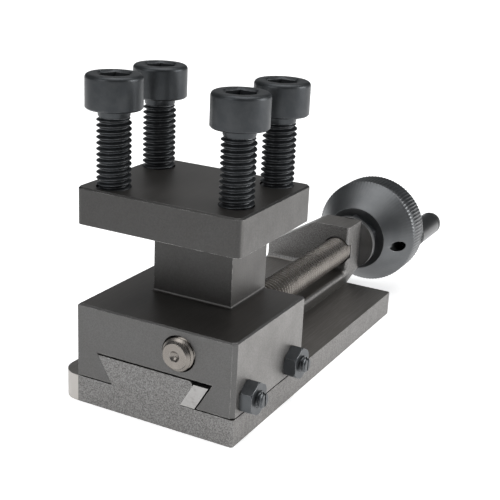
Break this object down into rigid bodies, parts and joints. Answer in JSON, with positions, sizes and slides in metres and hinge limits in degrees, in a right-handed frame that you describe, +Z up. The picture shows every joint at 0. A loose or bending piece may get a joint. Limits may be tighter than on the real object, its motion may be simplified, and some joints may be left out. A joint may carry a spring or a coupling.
{
  "type": "lathe top slide with tool post",
  "caption": "Small dovetail lathe top slide with a handwheel lead screw and a square clamp-type tool post whose socket cap screws grip a tool in an open slot.",
  "frame": {"origin": "centre of the base slab's underside", "axes": "+Y along the slide towards the handwheel, +X across the slide towards the gib screws, +Z up"},
  "size_m": [0.0398, 0.1058, 0.0598],
  "materials": {
    "base_steel": "blackened, milled, satin",
    "saddle_steel": "blackened, milled, satin",
    "gib_steel": "bright ground",
    "lead_screw_steel": "turned, lightly oiled",
    "clamp_screw_steel": "black oxide, satin",
    "fastener_steel": "black oxide with worn edges",
    "wheel_steel": "blackened, turned",
    "handle_steel": "blackened, turned"
  },
  "bodies": {
    "base": {"base": "base_steel"},
    "saddle": {"tool_post_saddle": "saddle_steel", "gib_strip": "gib_steel"},
    "lead_screw_and_wheel": {"lead_screw": "lead_screw_steel", "thrust_washer": "fastener_steel", "lead_screw_lock_nut": "fastener_steel", "handwheel": "wheel_steel", "wheel_washer": "fastener_steel", "wheel_nut": "fastener_steel", "handle_spindle": "handle_steel"},
    "handle_grip": {"handle_grip": "handle_steel"},
    "clamp_screw_front_left": {"clamp_screw_front_left": "clamp_screw_steel"},
    "clamp_screw_front_right": {"clamp_screw_front_right": "clamp_screw_steel"},
    "clamp_screw_rear_left": {"clamp_screw_rear_left": "clamp_screw_steel"},
    "clamp_screw_rear_right": {"clamp_screw_rear_right": "clamp_screw_steel"},
    "gib_screw_front": {"gib_screw_front": "fastener_steel"},
    "gib_lock_nut_front": {"gib_lock_nut_front": "fastener_steel"},
    "gib_screw_rear": {"gib_screw_rear": "fastener_steel"},
    "gib_lock_nut_rear": {"gib_lock_nut_rear": "fastener_steel"}
  },
  "joints": [
    {"name": "lead_screw_turn", "type": "hinge", "parent": "base", "child": "lead_screw_and_wheel", "pos_m": [0.005, 0, 0.01465], "axis": [0, 1, 0], "range_deg": [-14115, 2885]},
    {"name": "saddle_travel", "type": "slide", "parent": "base", "child": "saddle", "axis": [0, 1, 0], "range_m": [-0.008, 0.0392]},
    {"name": "handle_grip_spin", "type": "hinge", "parent": "lead_screw_and_wheel", "child": "handle_grip", "pos_m": [0.01435, 0.06, 0.01355], "axis": [0, 1, 0], "continuous": true},
    {"name": "clamp_screw_front_left_feed", "type": "slide", "parent": "saddle", "child": "clamp_screw_front_left", "axis": [0, 0, 1], "range_m": [-0.0132, 0.005]},
    {"name": "clamp_screw_front_right_feed", "type": "slide", "parent": "saddle", "child": "clamp_screw_front_right", "axis": [0, 0, 1], "range_m": [-0.0127, 0.005]},
    {"name": "clamp_screw_rear_left_feed", "type": "slide", "parent": "saddle", "child": "clamp_screw_rear_left", "axis": [0, 0, 1], "range_m": [-0.0127, 0.005]},
    {"name": "clamp_screw_rear_right_feed", "type": "slide", "parent": "saddle", "child": "clamp_screw_rear_right", "axis": [0, 0, 1], "range_m": [-0.0124, 0.005]},
    {"name": "gib_screw_front_feed", "type": "slide", "parent": "saddle", "child": "gib_screw_front", "axis": [1, 0, 0], "range_m": [0, 0.0008]},
    {"name": "gib_lock_nut_front_turn", "type": "hinge", "parent": "saddle", "child": "gib_lock_nut_front", "pos_m": [0.0172, -0.0318, 0.008], "axis": [1, 0, 0], "range_deg": [0, 360]},
    {"name": "gib_screw_rear_feed", "type": "slide", "parent": "saddle", "child": "gib_screw_rear", "axis": [1, 0, 0], "range_m": [0, 0.0008]},
    {"name": "gib_lock_nut_rear_turn", "type": "hinge", "parent": "saddle", "child": "gib_lock_nut_rear", "pos_m": [0.0172, -0.015, 0.008], "axis": [1, 0, 0], "range_deg": [0, 360]}
  ],
  "couplings": [
    {"joint": "lead_screw_turn", "follows": "saddle_travel", "rad_per_m": -6283.2}
  ]
}
